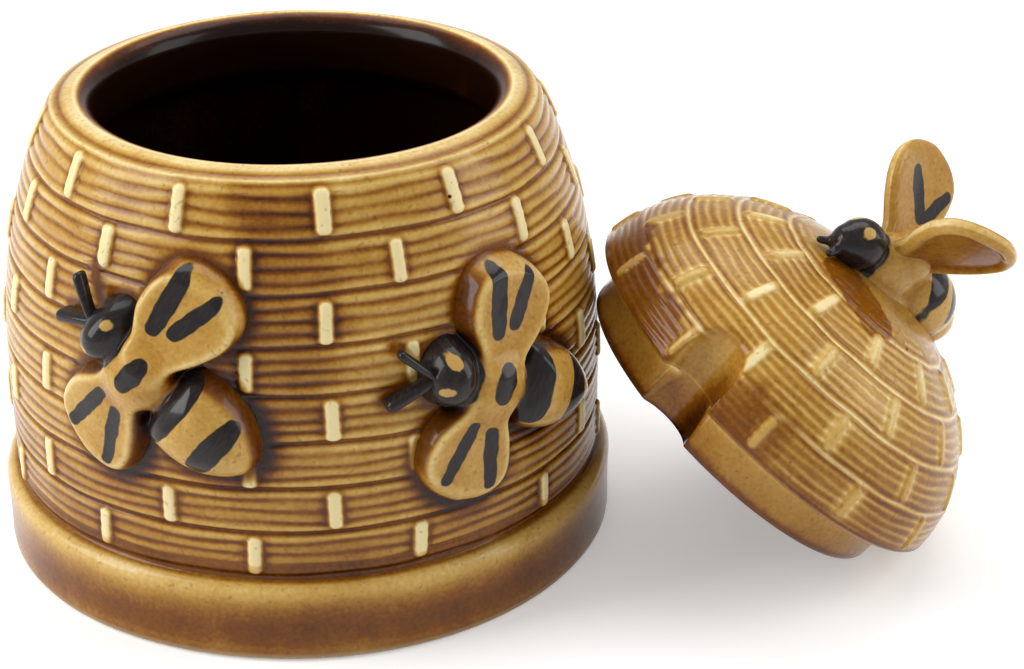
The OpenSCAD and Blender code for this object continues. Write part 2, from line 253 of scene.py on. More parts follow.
raisedWingPaint = {
    "strokes": [((1.7, 5.2), (-2.6, 11.4), 2.6), ((2.8, 5.4), (6.2, 11.0), 2.1),
                ((1.7, -5.2), (-2.6, -11.4), 2.6), ((2.8, -5.4), (6.2, -11.0), 2.1)],
    "headLine": -30.0, "head": ((-30.0, 0.0), (1.0, 1.0)), "antennaLow": 90.0,
    "eyes": [((-30.3, 0.0), (-29.7, 0.0), 0.5)],
}


def makePaintGroup(name, spec, stroke):
    tone = paintTone
    group, ins, outs = newGroup(name, [
        ("Place", "NodeSocketVector", None), ("Side", "NodeSocketFloat", 1.0)], [
        ("Mask", "NodeSocketFloat"), ("Color", "NodeSocketColor"), ("Eye", "NodeSocketFloat")])
    flat = vectorMaths(group, "MULTIPLY", ins["Place"], (1, 1, 0)).outputs[0]
    wobbleTexture = addNode(group, "ShaderNodeTexNoise", {"Vector": ins["Place"], "Scale": 0.34, "Detail": 1.5})
    wobble = vectorMaths(group, "SUBTRACT", wobbleTexture.outputs["Color"], (0.5, 0.5, 0.5)).outputs[0]
    wobble = vectorMaths(group, "MULTIPLY", wobble, (1.0, 1.0, 0)).outputs[0]
    shaky = vectorMaths(group, "ADD", flat, wobble).outputs[0]
    mask = None
    for start, end, width in spec["strokes"]:
        one = useGroup(group, stroke, {"Place": shaky, "From": (*start, 0), "To": (*end, 0), "Width": width})[0]
        mask = one if mask is None else maths(group, "MAXIMUM", mask, one)
    mask = maths(group, "MULTIPLY", mask, ins["Side"])
    apart = addNode(group, "ShaderNodeSeparateXYZ", {"Vector": shaky}).outputs
    head = maths(group, "SUBTRACT", 1.0, softStep(group, apart[0], spec["headLine"] - 0.15, spec["headLine"] + 0.15))
    (hx, hy), (rx, ry) = spec["head"]
    fromHead = vectorMaths(group, "MULTIPLY", vectorMaths(group, "SUBTRACT", shaky, (hx, hy, 0)).outputs[0],
                           (1 / rx, 1 / ry, 0)).outputs[0]
    onHead = maths(group, "SUBTRACT", 1.0, softStep(
        group, vectorMaths(group, "LENGTH", fromHead).outputs["Value"], 0.99, 1.04))
    lift = addNode(group, "ShaderNodeSeparateXYZ", {"Vector": ins["Place"]}).outputs[2]
    ahead = maths(group, "MULTIPLY", softStep(group, lift, spec["antennaLow"], spec["antennaLow"] + 0.3),
                  softStep(group, maths(group, "MULTIPLY", apart[0], -1.0), -hx + 2.0, -hx + 2.3))
    head = maths(group, "MULTIPLY", head, maths(group, "MAXIMUM", onHead, ahead))
    mask = maths(group, "MAXIMUM", mask, head)
    eye = None
    for start, end, width in spec["eyes"]:
        one = useGroup(group, stroke, {"Place": shaky, "From": (*start, 0), "To": (*end, 0), "Width": width})[0]
        eye = one if eye is None else maths(group, "MAXIMUM", eye, one)
    eye = maths(group, "MULTIPLY", eye, softStep(group, lift, 1.0, 1.3))    # not on the underside
    streaks = addNode(group, "ShaderNodeTexNoise", {"Vector": vectorMaths(
        group, "MULTIPLY", ins["Place"], (3.0, 0.6, 1.0)).outputs[0], "Scale": 1.0, "Detail": 4.0}).outputs[0]
    color = mixColor(group, softStep(group, streaks, 0.42, 0.68), linear(tone["color"]), linear(tone["warm"]))
    rim = maths(group, "MULTIPLY", maths(group, "SUBTRACT", 1.0, mask), mask)
    color = mixColor(group, maths(group, "MULTIPLY", rim, 3.0, clamp=True), color, linear(tone["edge"]))
    color = mixColor(group, eye, color, linear(tone["eyeColor"]))
    feed(group, outs["Mask"], mask)
    feed(group, outs["Color"], color)
    feed(group, outs["Eye"], eye)
    return group


glazeGroup = makeGlazeGroup(honeyGlaze)
strokeGroup = makeStrokeGroup()


def finishGlaze(name, base, paintGroup=None, inside=False):
    material = bpy.data.materials.new(name)
    material.use_nodes = True
    tree = material.node_tree
    shader = tree.nodes["Principled BSDF"]
    thickness = base["base"]
    bare, coat = 0.0, 0.3
    if inside:
        bare = attribute(tree, "bareClay").outputs["Fac"]
        ware = attribute(tree, "insideWare").outputs["Fac"]
        thickness = maths(tree, "MULTIPLY_ADD", ware, 0.62, base["base"])
        coat = maths(tree, "MULTIPLY_ADD", ware, -0.22, 0.3)
    glaze = useGroup(tree, glazeGroup, {
        "Base": thickness, "Hollow": attribute(tree, "hollow").outputs["Fac"], "Break": base["breaks"],
        "PoolAndShade": attribute(tree, "poolAndShade").outputs["Fac"], "ThinAndHighlight": attribute(tree, "thin").outputs["Fac"],
        "Bare": bare})
    color = glaze["Color"]
    if paintGroup:
        place = attribute(tree, "beePlace").outputs["Vector"]
        side = attribute(tree, "paintSide").outputs["Fac"]
        paint = useGroup(tree, paintGroup, {"Place": place, "Side": side})
        color = mixColor(tree, paint["Mask"], color, paint["Color"])
    feed(tree, shader.inputs["Base Color"], color)
    feed(tree, shader.inputs["Roughness"], glaze["Roughness"])
    feed(tree, shader.inputs["Coat Weight"], maths(tree, "MULTIPLY", glaze["Coat"], coat))
    shader.inputs["Specular IOR Level"].default_value = 0.14
    shader.inputs["Coat Roughness"].default_value = 0.07
    shader.inputs["IOR"].default_value = 1.5
    bump = addNode(tree, "ShaderNodeBump", {"Height": glaze["Height"], "Strength": 0.35,
                                            "Distance": honeyGlaze["peelHeight"] * mm})
    feed(tree, shader.inputs["Normal"], bump.outputs[0])
    return material


potGlaze = finishGlaze("potGlaze", {"base": 0.42, "breaks": 1.9}, inside=True)
lidGlaze = finishGlaze("lidGlaze", {"base": 0.35, "breaks": 2.0}, inside=True)
beeGlazes = [finishGlaze("beeGlaze" + tag, {"base": 0.37, "breaks": 0.9},
                         makePaintGroup("beePaint" + tag, {**beePaint, "eyes": eyes}, strokeGroup))
             for tag, eyes in beePaint["eyes"].items()]
knobGlaze = finishGlaze("knobGlaze", {"base": 0.33, "breaks": 0.5}, makePaintGroup("knobPaint", knobPaint, strokeGroup))
raisedWingGlaze = finishGlaze("raisedWingGlaze", {"base": 0.36, "breaks": 0.5},
                              makePaintGroup("raisedWingPaint", raisedWingPaint, strokeGroup))
print("glazes made")


# ---- mesh helpers

def wave(turn, count, shift):
    return np.sin(count * turn + shift)


def smoothStep(low, high, value):
    t = np.clip((value - low) / (high - low), 0, 1)
    return t * t * (3 - 2 * t)


def edgesOf(quads, tris):
    pairs = [quads[:, [0, 1]], quads[:, [1, 2]], quads[:, [2, 3]], quads[:, [3, 0]]]
    if len(tris):
        pairs += [tris[:, [0, 1]], tris[:, [1, 2]], tris[:, [2, 0]]]
    pairs = np.sort(np.concatenate(pairs), axis=1)
    return np.unique(pairs, axis=0)


def normalsOf(points, quads, tris):
    total = np.zeros_like(points)
    a, b, c, d = (points[quads[:, i]] for i in range(4))
    face = np.cross(c - a, d - b)
    for i in range(4):
        for axis in range(3):
            total[:, axis] += np.bincount(quads[:, i], face[:, axis], len(points))
    if len(tris):
        a, b, c = (points[tris[:, i]] for i in range(3))
        face = np.cross(b - a, c - a)
        for i in range(3):
            for axis in range(3):
                total[:, axis] += np.bincount(tris[:, i], face[:, axis], len(points))
    return total / np.maximum(np.linalg.norm(total, axis=1, keepdims=True), 1e-12)


def hollowness(points, quads, tris, rounds):
    # how far a point lies below its smoothed surroundings, in millimetres
    edges = edgesOf(quads, tris)
    n = len(points)
    count = np.maximum(np.bincount(edges.ravel(), minlength=n), 1)
    smooth = points.copy()
    for _ in range(rounds):
        for axis in range(3):
            total = np.bincount(edges[:, 0], smooth[edges[:, 1], axis], n)
            total += np.bincount(edges[:, 1], smooth[edges[:, 0], axis], n)
            smooth[:, axis] = 0.5 * smooth[:, axis] + 0.5 * total / count
    return ((smooth - points) * normalsOf(points, quads, tris)).sum(1)


def writeMesh(name, points, quads, tris, marks, material):
    mesh = bpy.data.meshes.new(name)
    quads, tris = np.asarray(quads, np.int32).reshape(-1, 4), np.asarray(tris, np.int32).reshape(-1, 3)
    mesh.vertices.add(len(points))
    mesh.vertices.foreach_set("co", (points * mm).astype(np.float32).ravel())
    mesh.loops.add(quads.size + tris.size)
    mesh.loops.foreach_set("vertex_index", np.concatenate([quads.ravel(), tris.ravel()]))
    mesh.polygons.add(len(quads) + len(tris))
    starts = np.concatenate([np.arange(len(quads)) * 4, quads.size + np.arange(len(tris)) * 3])
    mesh.polygons.foreach_set("loop_start", starts.astype(np.int32))
    mesh.polygons.foreach_set("use_smooth", np.ones(len(starts), bool))
    mesh.update(calc_edges=True)
    mesh.validate()
    for label, values in marks.items():
        kind = "FLOAT_VECTOR" if values.ndim == 2 else "FLOAT"
        layer = mesh.attributes.new(label, kind, "POINT")
        layer.data.foreach_set("vector" if values.ndim == 2 else "value", values.astype(np.float32).ravel())
    mesh.materials.append(material)
    obj = bpy.data.objects.new(name, mesh)
    scene.collection.objects.link(obj)
    return obj


def resample(points, step):
    points = np.asarray(points, float)
    along = np.concatenate([[0], np.cumsum(np.linalg.norm(np.diff(points, axis=0), axis=1))])
    n = max(1, int(round(along[-1] / step)))
    at = np.linspace(0, along[-1], n + 1)
    return np.stack([np.interp(at, along, points[:, i]) for i in range(2)], 1)


def arcPoints(x, y, radius, start, end, steps=12):
    a = np.radians(np.linspace(start, end, steps + 1))
    return np.stack([x + radius * np.cos(a), y + radius * np.sin(a)], 1)


def revolveFaces(rows, columns):
    # rows of rings, closed round, with one point at each end
    i, j = np.meshgrid(np.arange(rows - 1), np.arange(columns), indexing="ij")
    k = (j + 1) % columns
    quads = np.stack([i * columns + j, i * columns + k, (i + 1) * columns + k, (i + 1) * columns + j], -1).reshape(-1, 4)
    first, last = rows * columns, rows * columns + 1
    j = np.arange(columns)
    k = (j + 1) % columns
    low = np.stack([np.full(columns, first), k, j], 1)
    high = np.stack([np.full(columns, last), (rows - 1) * columns + j, (rows - 1) * columns + k], 1)
    return quads, np.concatenate([low, high])


# ---- coils and stitches, shared by the pot and the lid

potCoil = {
    "ridges": 4, "ridgeDepth": 0.24, "rowDepth": 0.30, "rowEdge": 0.45, "wander": 0.014, "seed": 5, "rowSize": 7.45,
    "stitches": 12, "stitchWidth": 2.1, "stitchHeight": 6.1, "stitchUp": 0.5, "stitchRound": 0.9, "stitchSoft": 0.5,
}
lidCoil = {
    "ridges": 5, "ridgeDepth": 0.17, "rowDepth": 0.20, "rowEdge": 0.40, "wander": 0.014, "seed": 9, "rowSize": 7.3,
    "stitches": 12, "stitchWidth": 1.8, "stitchHeight": 5.8, "stitchUp": 0.38, "stitchRound": 0.8, "stitchSoft": 0.5,
}


def coilRelief(turn, place, radius, firstTurn, spec):
    # place counts rows of coil; the result is relief in millimetres and the stitches' mask
    seed, rowSize = spec["seed"], spec["rowSize"]
    wander = wave(turn, 3, 0.4 + seed) + 0.7 * wave(turn, 7, 1.9 + 0.9 * place) + 0.5 * wave(turn, 16, 2.3 * place)
    at = place + spec["wander"] * wander
    phase = at * spec["ridges"] + 0.07 * wave(turn, 7, 5.0 * at) + 0.045 * wave(turn, 19, -9.0 * at + seed)
    groove = (0.5 + 0.5 * np.cos(2 * np.pi * phase)) ** 1.8
    uneven = 0.72 + 0.28 * wave(turn, 9, 3.1 * np.floor(phase + 0.5)) * wave(turn, 4, 1.7 * np.floor(phase + 0.5))
    toEdge = np.abs(at - np.round(at)) * rowSize
    relief = -spec["ridgeDepth"] * groove * uneven - spec["rowDepth"] * np.exp(-(toEdge / spec["rowEdge"]) ** 2)
    row = np.floor(place).astype(int)
    step = 2 * np.pi / spec["stitches"]
    start = math.radians(firstTurn) + (row % 2) * step / 2
    index = np.round((turn - start) / step)
    center = start + index * step
    draw = np.random.default_rng(seed)
    jitter = draw.uniform(-1, 1, (64, 5))
    pick = jitter[((row * 7 + index.astype(int) % spec["stitches"]) % 64)]
    across = radius * (turn - center) + 0.35 * pick[..., 0]
    down = (place - row - 0.5) * rowSize + 0.3 * pick[..., 1]
    across = across + 0.05 * pick[..., 2] * down
    halfWide = spec["stitchWidth"] / 2 * (1 + 0.10 * pick[..., 3]) - spec["stitchRound"]
    halfTall = spec["stitchHeight"] / 2 * (1 + 0.05 * pick[..., 4]) - spec["stitchRound"]
    qx, qy = np.abs(across) - halfWide, np.abs(down) - halfTall
    gap = np.hypot(np.maximum(qx, 0), np.maximum(qy, 0)) + np.minimum(np.maximum(qx, qy), 0) - spec["stitchRound"]
    body = 1 - smoothStep(-spec["stitchSoft"], 0.45, gap)
    mask = 1 - smoothStep(-0.45, 0.30, gap)
    return relief * (1 - body) + spec["stitchUp"] * body, mask


# ---- the bees' flat shape, used on the wall, for the pooled glaze and painted shadow round it, and for the knob's wings

beeShape = {
    "wing": [(1.0, -3.6, 3.6), (4.6, -5.0, 4.6), (8.2, -7.2, 6.6), (12.4, -7.6, 8.2), (16.0, -6.3, 7.9), (18.4, -3.2, 5.6),
             (19.4, 0.4, 2.0)],
    "wingRoot": 4.5, "upperTip": 4.1, "lowerTip": 2.5, "wingRound": 1.5, "tipRound": 2.0, "wingDish": 0.35,
    "abdomen": [(5.0, 0.0), (6.0, 5.6), (9.0, 6.9), (13.2, 6.9), (17.2, 5.6), (20.6, 3.0), (22.0, 0.0)],
    "abdomenUp": 6.2, "abdomenRound": 6.4,
    "thorax": (0.3, 0.0, 6.4, 6.2), "thoraxUp": 5.7,
    "head": (-7.3, 0.4, 4.1, 5.1), "headUp": 6.4,
    "antennae": [((-10.4, 0.0), (-16.2, 2.3), 0.55, 0.75, (1.6, 3.4), (1.7, 3.9)),
                 ((-10.4, -0.8), (-14.8, -5.6), 0.75, 1.05, (0.6, 3.2), (-0.4, 2.9))],
    "rodRings": 26, "rodSpokes": 20,
    "skirt": 0.9, "step": 0.2, "relax": 9, "back": -1.4,
}


def closedCurve(points, steps=8):
    points = np.asarray(points, float)
    out = []
    for i in range(len(points)):
        p0, p1, p2, p3 = (points[(i + k) % len(points)] for k in (-1, 0, 1, 2))
        for t in np.arange(steps) / steps:
            out.append(0.5 * (2 * p1 + (p2 - p0) * t + (2 * p0 - 5 * p1 + 4 * p2 - p3) * t * t
                              + (3 * p1 - p0 - 3 * p2 + p3) * t ** 3))
    return np.array(out)


def outlineGap(outline, x, y):
    # distance to a closed outline, negative inside it
    nearest = np.full(x.shape, 1e9)
    inside = np.zeros(x.shape, bool)
    for (ax, ay), (bx, by) in zip(outline, np.roll(outline, -1, axis=0)):
        ex, ey = bx - ax, by - ay
        t = np.clip(((x - ax) * ex + (y - ay) * ey) / (ex * ex + ey * ey + 1e-12), 0, 1)
        nearest = np.minimum(nearest, (x - ax - t * ex) ** 2 + (y - ay - t * ey) ** 2)
        crosses = (ay > y) != (by > y)
        inside ^= crosses & (x < ex * (y - ay) / (ey if abs(ey) > 1e-12 else 1e-12) + ax)
    return np.where(inside, -1, 1) * np.sqrt(nearest)


def pillow(gap, up, rounding):
    share = np.clip(-gap / rounding, 0, 1)
    return np.where(gap < 0, up * np.sqrt(1 - (1 - share) ** 2), -1.6 * gap)


def blendUp(a, b, soft):
    return 0.5 * (a + b + np.sqrt((a - b) ** 2 + soft * soft))


wingRight = [(rear, out) for out, front, rear in reversed(beeShape["wing"])]
wingLeft = [(front, out) for out, front, rear in beeShape["wing"]]
wingOutline = closedCurve(wingLeft + wingRight)
abdomenSide = beeShape["abdomen"]
abdomenOutline = closedCurve(abdomenSide + [(x, -y) for x, y in reversed(abdomenSide[1:-1])])


def antennaGap(x, y, start, end, thin, thick):
    ex, ey = end[0] - start[0], end[1] - start[1]
    t = np.clip(((x - start[0]) * ex + (y - start[1]) * ey) / (ex * ex + ey * ey), 0, 1)
    return np.hypot(x - start[0] - t * ex, y - start[1] - t * ey) - (thin + (thick - thin) * t * t)


def wingHeight(x, y):
    s = beeShape
    gap = outlineGap(wingOutline, x, np.abs(y))
    share = np.clip(np.abs(y) / 19.4, 0, 1)
    up = s["wingRoot"] + (np.where(y > 0, s["upperTip"], s["lowerTip"]) - s["wingRoot"]) * share
    rounding = s["wingRound"] + s["tipRound"] * smoothStep(0.72, 1.0, share)
    return pillow(gap, up, rounding) - s["wingDish"] * smoothStep(1.0, 5.0, -gap)


def beeHeight(x, y):
    s = beeShape
    abdomen = pillow(outlineGap(abdomenOutline, x, y), s["abdomenUp"], s["abdomenRound"])
    cx, cy, rx, ry = s["thorax"]
    thorax = pillow((np.hypot((x - cx) / rx, (y - cy) / ry) - 1) * min(rx, ry), s["thoraxUp"], min(rx, ry))
    hx, hy, rx, ry = s["head"]
    head = pillow((np.hypot((x - hx) / rx, (y - hy) / ry) - 1) * min(rx, ry), s["headUp"], min(rx, ry))
    body = blendUp(thorax, abdomen, 0.9)
    whole = blendUp(body, wingHeight(x, y), 1.3)
    return blendUp(whole, head, 0.35) - 0.2


def beeOutlineGap(x, y):
    # rough distance outside the whole bee's outline
    s = beeShape
    gap = np.minimum(outlineGap(wingOutline, x, np.abs(y)), outlineGap(abdomenOutline, x, y))
    cx, cy, rx, ry = s["thorax"]
    gap = np.minimum(gap, (np.hypot((x - cx) / rx, (y - cy) / ry) - 1) * min(rx, ry))
    hx, hy, rx, ry = s["head"]
    gap = np.minimum(gap, (np.hypot((x - hx) / rx, (y - hy) / ry) - 1) * min(rx, ry))
    for start, end, thin, thick, *_ in s["antennae"]:
        gap = np.minimum(gap, antennaGap(x, y, start, end, thin, thick) + 0.4)
    return gap


def antennaRod(start, end, thin, thick, startSpan, endSpan):
    # a rod with rounded ends, deeper than it is wide
    s = beeShape
    start, end = np.array(start), np.array(end)
    length = np.linalg.norm(end - start)
    ahead = (end - start) / length
    aside = np.array([-ahead[1], ahead[0]])
    even = np.linspace(0.03, 0.97, s["rodRings"])
    along = -thin + (length + thin + thick) * (1 - np.cos(np.pi * even)) / 2
    past = np.where(along < 0, -along / thin, np.maximum(along - length, 0) / thick)
    ease = np.sqrt(1 - past ** 2)
    t = np.clip(along / length, 0, 1)
    half = (thin + (thick - thin) * t) * ease
    low = startSpan[0] + (endSpan[0] - startSpan[0]) * t + (1 - ease) * thick
    top = startSpan[1] + (endSpan[1] - startSpan[1]) * t - (1 - ease) * thick
    a = np.linspace(0, 2 * np.pi, s["rodSpokes"], endpoint=False)
    across = half[:, None] * np.sign(np.cos(a)) * np.abs(np.cos(a)) ** 0.7
    share = 0.5 + 0.5 * np.sign(np.sin(a)) * np.abs(np.sin(a)) ** 0.9
    up = low[:, None] + (top - low)[:, None] * share
    flat = start + along[:, None, None] * ahead + across[..., None] * aside
    rod = np.concatenate([flat, up[..., None]], -1).reshape(-1, 3)
    caps = [[*(start - ahead * thin), sum(startSpan) / 2], [*(end + ahead * thick), sum(endSpan) / 2]]
    return np.concatenate([rod, caps])


def reliefFaces(keep):
    # faces of a grid's kept cells, front and back, closed along their border
    rows, columns = keep.shape
    number = -np.ones((rows + 1, columns + 1), int)
    used = np.zeros((rows + 1, columns + 1), bool)
    for dr in (0, 1):
        for dc in (0, 1):
            used[dr:rows + dr, dc:columns + dc] |= keep
    number[used] = np.arange(used.sum())
    n = used.sum()
    r, c = np.nonzero(keep)
    front = np.stack([number[r, c], number[r + 1, c], number[r + 1, c + 1], number[r, c + 1]], 1)
    back = front[:, ::-1] + n
    directed = np.concatenate([front[:, [0, 1]], front[:, [1, 2]], front[:, [2, 3]], front[:, [3, 0]]])
    codes = directed[:, 0].astype(np.int64) * n + directed[:, 1]
    opposite = directed[:, 1].astype(np.int64) * n + directed[:, 0]
    border = directed[~np.isin(codes, opposite)]
    wall = np.stack([border[:, 1], border[:, 0], border[:, 0] + n, border[:, 1] + n], 1)
    return used, np.concatenate([front, back, wall])


# ---- the pot

potShape = {
    "footRadius": 50.2, "footHeight": 13.2, "footRound": 2.2,
    "height": 75.0, "bellyRadius": 48.2, "wall": 4.6, "floor": 5.0,
    "shoulderHeight": 24.0, "shoulderIn": 9.7, "shoulderBend": 2.7,
    "mouthRadius": 31.5, "lip": 6.2, "throat": 6.0,
    "coilBottom": 14.0, "coilTop": 73.6, "rows": 8, "firstStitch": -20.5,
    "turnSteps": 900, "fineStep": 0.25, "plainStep": 0.7,
}
wallBees = {
    "wall_bee_front_left": ("BeeFrontLeft", -114.5, 47.0, 38.0),
    "wall_bee_front_right": ("BeeFrontRight", -51.5, 42.0, 22.0),
    "wall_bee_back_left": ("BeeBackLeft", 128.5, 42.0, 22.0),
    "wall_bee_back_right": ("BeeBackRight", 65.5, 47.0, 38.0),
}


def wallRadius(height):
    s = potShape
    rise = np.maximum(0, np.asarray(height, float) - s["shoulderHeight"]) / (s["coilTop"] - s["shoulderHeight"])
    return s["bellyRadius"] - s["shoulderIn"] * np.minimum(rise, 1.02) ** s["shoulderBend"]


def toBeeFrame(turn, height, bee):
    _, beeTurn, beeHeightUp, droop = bee
    away = (turn - math.radians(beeTurn) + np.pi) % (2 * np.pi) - np.pi
    across, up = away * potShape["bellyRadius"], height - beeHeightUp
    c, s = math.cos(math.radians(droop)), math.sin(math.radians(droop))
    return across * c - up * s, across * s + up * c


def buildPot():
    s = potShape
    lipRadius = s["lip"] / 2
    lipMiddle, lipHeight = s["mouthRadius"] + lipRadius, s["height"] - lipRadius
    foot = np.concatenate([
        [(2.0, 1.0), (43.0, 1.0), (44.6, 0.0), (48.2, 0.0)],
        arcPoints(48.9, 1.3, 1.3, -80, 0, 6), [(50.1, 6.0)],
        arcPoints(s["footRadius"] - s["footRound"], s["footHeight"] - s["footRound"], s["footRound"], 0, 82, 10),
        [(s["bellyRadius"] - 0.55, s["footHeight"] + 0.05)]])
    coilHeights = np.arange(s["coilBottom"], s["coilTop"] + 1e-6, (s["coilTop"] - s["coilBottom"]) / round(
        (s["coilTop"] - s["coilBottom"]) / s["fineStep"]))
    coil = np.stack([wallRadius(coilHeights), coilHeights], 1)
    lip = np.concatenate([[(38.0, 73.95)], arcPoints(lipMiddle, lipHeight, lipRadius, 48, 180, 26)])
    throat = lipHeight - s["throat"]
    insideTop = throat - s["wall"]
    innerHeights = np.linspace(insideTop - 1.0, s["floor"] + s["wall"], 60)
    inner = np.concatenate([
        [(s["mouthRadius"], throat + 1.2), (s["mouthRadius"] + 0.5, throat - 0.4), (34.4, throat - 2.4), (37.6, insideTop + 0.6)],
        np.stack([wallRadius(innerHeights) - s["wall"], innerHeights], 1),
        arcPoints(s["bellyRadius"] - 2 * s["wall"], s["floor"] + s["wall"], s["wall"], -6, -90, 8), [(2.0, s["floor"])]])
    parts = [resample(foot, s["plainStep"]), coil, resample(lip, 0.35), resample(inner, 1.2)]
    profile = np.concatenate([parts[0], parts[1], parts[2][0:], parts[3][1:]])
    zone = np.concatenate([np.full(len(parts[0]), 0), np.full(len(parts[1]), 1),
                           np.full(len(parts[2]), 2), np.full(len(parts[3]) - 1, 3)])
    turns = np.linspace(-np.pi, np.pi, s["turnSteps"], endpoint=False)
    turn, radius = np.meshgrid(turns, profile[:, 0])
    height = np.repeat(profile[:, 1:2], len(turns), 1)
    zoneGrid = np.repeat(zone[:, None], len(turns), 1)
    rowSize = (s["coilTop"] - s["coilBottom"]) / s["rows"]
    place = (s["coilTop"] - height) / rowSize
    relief, stitchMask = coilRelief(turn, np.clip(place, 0, s["rows"] - 1e-6), radius, s["firstStitch"], potCoil)
    onCoil = (zoneGrid == 1)
    fade = smoothStep(0, 0.5, height - s["coilBottom"]) * smoothStep(0, 0.7, s["coilTop"] - height)
    relief = np.where(onCoil, relief * fade - 0.35 * (1 - fade), 0)
    poolAndShade, moat = np.zeros(turn.shape), np.zeros(turn.shape)
    for bee in wallBees.values():
        x, y = toBeeFrame(turn, height, bee)
        near = (np.abs(x) < 28) & (np.abs(y) < 27) & onCoil
        gap = np.maximum(beeOutlineGap(x[near], y[near]), 0)
        # glaze pooled in a band round each bee; making it darker and wider on the bee's lower, tail side is painted
        # shadow
        below = smoothStep(-16, 14, x[near] * 0.6 - y[near] * 0.35)
        poolAndShade[near] = np.maximum(poolAndShade[near], (0.4 + 0.85 * below) * np.exp(-(gap / (1.1 + 1.7 * below)) ** 2))
        moat[near] = np.maximum(moat[near], np.exp(-(gap / (1.1 + 1.0 * below)) ** 2))
    relief = relief * (1 - moat) - 0.2 * moat
    stitchMask = np.where(onCoil, stitchMask, 0)
    uneven = 0.10 * (wave(turn, 2, 0.7) + wave(turn, 5, 1.1 + height * 0.05)) - 0.12
    radius = radius + relief + np.where(radius > 20, uneven * (zoneGrid < 3), 0)
    points = np.stack([radius * np.cos(turn), radius * np.sin(turn), height], -1).reshape(-1, 3)
    points = np.concatenate([points, [[0, 0, profile[0, 1]], [0, 0, s["floor"]]]])
    quads, tris = revolveFaces(len(profile), len(turns))
    hollow = np.clip(hollowness(points, quads, tris, 26), -0.2, 0.12)
    hollow[:turn.size] *= np.where((zoneGrid == 0) | (height < 16.2), 0.3, 1.0).ravel()
    # a darker strip down the front of the pot: painted shade standing in for the unreflecting front of the glossy glaze
    drip = 0.5 * np.pi + turn + 0.03 * wave(turn, 1, 0.5 + height * 0.21) + 0.02 * np.sin(height * 0.9)
    poolAndShade += 0.38 * np.exp(-((drip - 0.03) / 0.165) ** 6) * onCoil * smoothStep(30, 46, height)
    # the coil wall is made darker towards the bottom
    poolAndShade += 0.24 * smoothStep(36, 16, height) * onCoil
    poolAndShade = np.maximum(poolAndShade, 0.66 * np.exp(-((height - 14.7) / 1.8) ** 2) * (zoneGrid < 2) * (height > 13.1))
    poolAndShade += 0.12 * (zoneGrid == 2) * smoothStep(72.0, 74.2, 147.2 - height)
    lipPale = smoothStep(0.6, 0.95, np.sin(np.arctan2(height - lipHeight, radius - lipMiddle))) * (zoneGrid == 2)
    # a paler band along the foot's top edge: a painted highlight
    footEdgeHighlight = np.exp(-((height - 12.2) / 1.0) ** 2) * (zoneGrid == 0) * (radius > 47)
    # the foot band is made darker towards the bottom
    poolAndShade += 0.50 * smoothStep(13.0, 5.0, height) * (zoneGrid == 0)
    thin = np.maximum(stitchMask, 0.16 * lipPale + 0.30 * footEdgeHighlight)
    bare = (1 - smoothStep(0.5, 1.2, height)) * (radius > 43.6) * (zoneGrid == 0)
    lipTurn = np.degrees(np.arctan2(height - lipHeight, radius - lipMiddle))
    # a pale line along the lip's inner edge: a painted highlight
    thin = np.maximum(thin, 0.6 * np.exp(-((lipTurn - 98) / 8) ** 2) * (zoneGrid == 2))
    inside = (0.8 * smoothStep(93, 120, lipTurn) + 0.2 * smoothStep(120, 170, lipTurn)) * (zoneGrid == 2) + (zoneGrid == 3)
    ends = lambda grid, first, last: np.concatenate([grid.reshape(-1), [first, last]])
    hollow *= 1 - ends(np.clip(inside, 0, 1), 0, 1)
    marks = {"hollow": hollow, "poolAndShade": ends(poolAndShade, 0.2, 0.2), "thin": ends(thin, 0, 0),
             "bareClay": ends(bare, 0, 0), "insideWare": ends(np.clip(inside, 0, 1), 0, 1)}
    obj = writeMesh("PotBody", points, quads[:, ::-1], tris[:, ::-1], marks, potGlaze)
    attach(obj, "pot")
    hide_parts("pot_shell")
    print("pot", len(points), "points")
    return obj


pot = buildPot()


